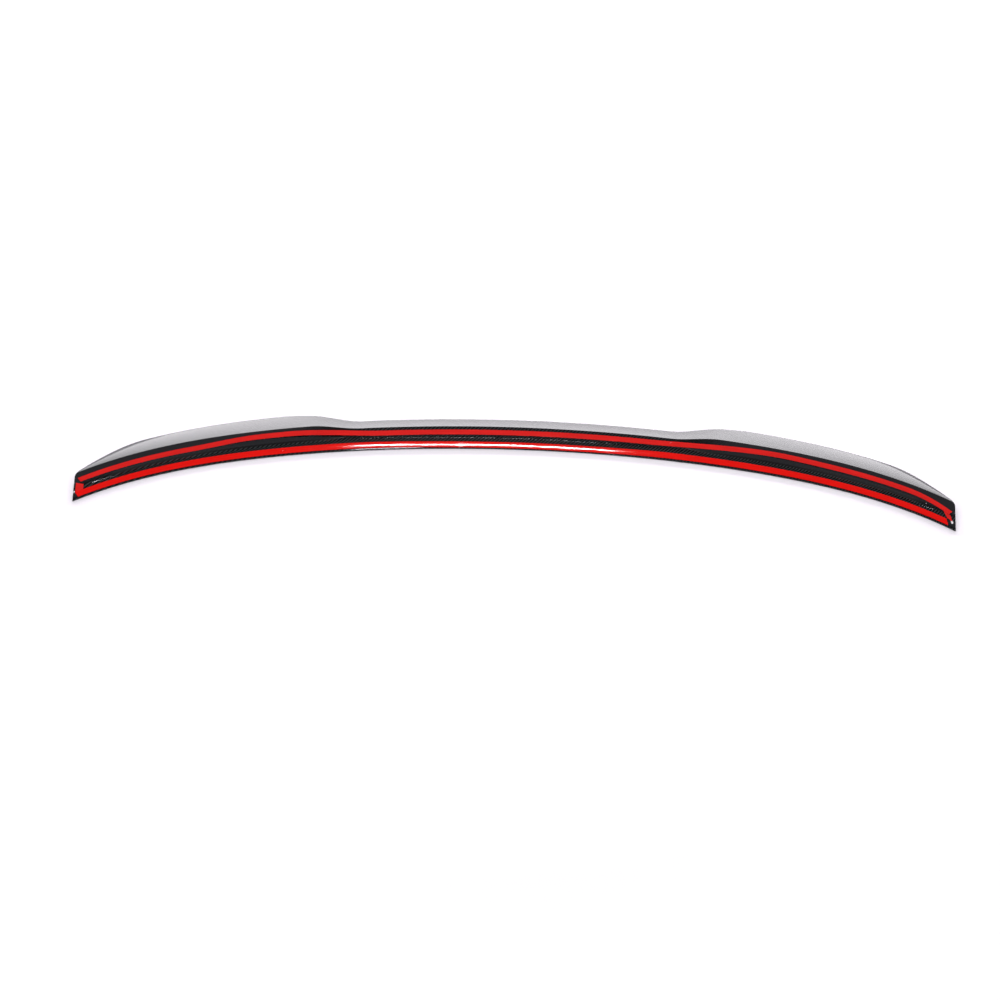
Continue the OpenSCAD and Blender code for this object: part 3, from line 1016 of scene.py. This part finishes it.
# Colour of the walls' and the lamps' light
STUDIO_TINT = (1.0, 0.97, 1.01)

# How squarely behind the spoiler the pale wall starts and is full, as the y of a direction
REAR_WALL_SPAN = (0.80, 0.99)

# How fast the pale wall darkens with the height of a direction
REAR_WALL_FADE = 1.45

# Name, place, aim, turn in degrees, width, height and radiance of each lamp, and whether it shows in gloss
LAMPS = (
    ("rear_strip", (0.0, 2.2, 0.78), (0.0, 0.0, 0.0), 0, 3.2, 0.22, 38.0, False),
    ("front_left_box", (-1.9, -1.5, 2.0), (0.0, 0.0, 0.0), 0, 1.5, 1.5, 4.5, False),
    ("front_right_box", (1.9, -1.5, 2.0), (0.0, 0.0, 0.0), 0, 1.5, 1.5, 4.5, False),
    ("back_left_box", (-1.9, 1.4, 2.0), (0.0, 0.0, 0.0), 0, 1.5, 1.5, 3.5, False),
    ("back_right_box", (1.9, 1.4, 2.0), (0.0, 0.0, 0.0), 0, 1.5, 1.5, 3.5, False),
    ("top_strip", (-0.065, -0.142, 1.3), (-0.065, -0.142, 0.0), 5, 0.38, 0.062, 60.0, True),
)


class SPOILER_OT_stage(bpy.types.Operator):
    """Sets the camera, the white floor, the pale studio and its lamps"""

    bl_idname = "spoiler.stage"
    bl_label = "Stage"

    def execute(self, context):
        stage = context.scene.spoiler_stage
        self.add_camera(context.scene, stage)
        self.add_floor(stage)
        self.light_world(context.scene, stage)
        for lamp in LAMPS:
            self.add_softbox(*lamp)
        context.scene.view_settings.view_transform = "Standard"
        return {"FINISHED"}

    def add_camera(self, scene, stage):
        data = bpy.data.cameras.new("camera")
        data.lens = stage.lens
        camera = added("camera", data)
        turn, rise = stage.azimuth, stage.elevation
        back = Vector((math.sin(turn) * math.cos(rise), -math.cos(turn) * math.cos(rise), math.sin(rise)))
        camera.location = Vector(stage.target) + back * stage.distance
        camera.rotation_euler = (-back).to_track_quat("-Z", "Y").to_euler()
        scene.camera = camera

    def add_floor(self, stage):
        bm = bmesh.new()
        bmesh.ops.create_grid(bm, x_segments=1, y_segments=1, size=stage.floor_size / 2)
        bmesh.ops.translate(bm, verts=bm.verts, vec=Vector((0, 0, CAD_LOW.z - FLOOR_CLEARANCE)))
        mesh = bpy.data.meshes.new("floor")
        bm.to_mesh(mesh)
        bm.free()
        floor = added("floor", mesh)
        mesh.materials.append(self.paper(stage))

    def paper(self, stage):
        """White paper. What the camera and gloss see of it is lifted to white, a little more far from
        the spoiler, and keeps the shadow."""
        material, tree, shader = new_material("white_paper", Roughness=1.0, Specular_IOR_Level=0.0)
        shader.inputs["Base Color"].default_value = (*stage.floor_colour, 1)
        shader.inputs["Emission Color"].default_value = (*stage.floor_colour, 1)
        path = node(tree, "ShaderNodeLightPath")
        seen = calc(tree, "MAXIMUM", path.outputs["Is Camera Ray"], path.outputs["Is Glossy Ray"])
        seen = calc(tree, "MAXIMUM", seen, path.outputs["Is Transmission Ray"])
        far = node(tree, "ShaderNodeVectorMath", operation="LENGTH")
        tree.links.new(node(tree, "ShaderNodeTexCoord").outputs["Object"], far.inputs[0])
        past = calc(tree, "MAXIMUM", calc(tree, "SUBTRACT", far.outputs["Value"], FAR_FROM), 0.0)
        added = calc(tree, "MINIMUM", calc(tree, "MULTIPLY", past, FAR_RISE), FAR_LIFT)
        lift = calc(tree, "ADD", added, stage.floor_lift)
        feed(tree, shader.inputs["Emission Strength"], calc(tree, "MULTIPLY", seen, lift))
        return material

    def light_world(self, scene, stage):
        """Pale walls that darken towards the ceiling, with the palest one behind the spoiler."""
        world = bpy.data.worlds.new("studio")
        scene.world = world
        world.use_nodes = True
        tree = world.node_tree
        tree.nodes.clear()
        out = node(tree, "ShaderNodeOutputWorld")
        light = node(tree, "ShaderNodeBackground")
        light.inputs["Color"].default_value = (*STUDIO_TINT, 1)
        tree.links.new(light.outputs[0], out.inputs[0])
        _, back, up = split_xyz(tree, node(tree, "ShaderNodeTexCoord").outputs["Generated"])
        low = calc(tree, "SUBTRACT", 1.0, calc(tree, "MAXIMUM", up, 0.0))
        span = stage.wall_light - stage.ceiling_light
        walls = calc(tree, "MULTIPLY_ADD", calc(tree, "MULTIPLY", low, low), span, stage.ceiling_light)
        behind = node(tree, "ShaderNodeMapRange", interpolation_type="SMOOTHSTEP")
        feed(tree, behind.inputs["Value"], back)
        for socket, value in zip(("From Min", "From Max", "To Max"), (*REAR_WALL_SPAN, stage.rear_light)):
            behind.inputs[socket].default_value = value
        fade = calc(tree, "MULTIPLY_ADD", up, -REAR_WALL_FADE, 1.0)
        glow = calc(tree, "MULTIPLY", behind.outputs["Result"], calc(tree, "MAXIMUM", fade, 0.0))
        feed(tree, light.inputs["Strength"], calc(tree, "ADD", walls, glow))

    def add_softbox(self, name, place, aim, turn, width, height, radiance, in_gloss):
        """A rectangular lamp of that radiance, which the camera itself doesn't see."""
        data = bpy.data.lights.new(name, "AREA")
        data.shape = "RECTANGLE"
        data.size = width
        data.size_y = height
        data.energy = radiance * math.pi * width * height
        data.color = STUDIO_TINT
        lamp = added(name, data)
        lamp.location = place
        facing = (Vector(aim) - Vector(place)).to_track_quat("-Z", "Y")
        lamp.rotation_euler = (facing @ Quaternion((0, 0, 1), math.radians(turn))).to_euler()
        lamp.visible_camera = False
        lamp.visible_glossy = in_gloss


class SPOILER_PT_tools(bpy.types.Panel):
    """Lists the steps that dress the spoiler, with the sizes that they use"""

    bl_idname = "SPOILER_PT_tools"
    bl_label = "Boot-lid spoiler"
    bl_space_type = "VIEW_3D"
    bl_region_type = "UI"
    bl_category = "Spoiler"

    def draw(self, context):
        for step in STEPS:
            self.layout.operator(step.bl_idname)
        for group in GROUPS:
            box = self.layout.box()
            settings = getattr(context.scene, group)
            for name in settings.bl_rna.properties.keys():
                if name not in ("rna_type", "name"):
                    box.prop(settings, name)


STEPS = (SPOILER_OT_stage, SPOILER_OT_shell, SPOILER_OT_tape_foam, SPOILER_OT_liners, SPOILER_OT_flecks)
GROUPS = {
    "spoiler_shell": ShellSizes,
    "spoiler_tape": TapeSizes,
    "spoiler_looks": FinishLooks,
    "spoiler_stage": StageSizes,
}


def register():
    for made in (*GROUPS.values(), *STEPS, SPOILER_PT_tools):
        bpy.utils.register_class(made)
    for name, group in GROUPS.items():
        setattr(bpy.types.Scene, name, PointerProperty(type=group))


def unregister():
    for name in GROUPS:
        delattr(bpy.types.Scene, name)
    for made in (SPOILER_PT_tools, *reversed(STEPS), *GROUPS.values()):
        bpy.utils.unregister_class(made)


def main():
    register()
    bpy.ops.spoiler.stage()
    bpy.ops.spoiler.shell()
    bpy.ops.spoiler.tape_foam()
    bpy.ops.spoiler.liners()
    bpy.ops.spoiler.flecks()


if __name__ == "__main__":
    main()
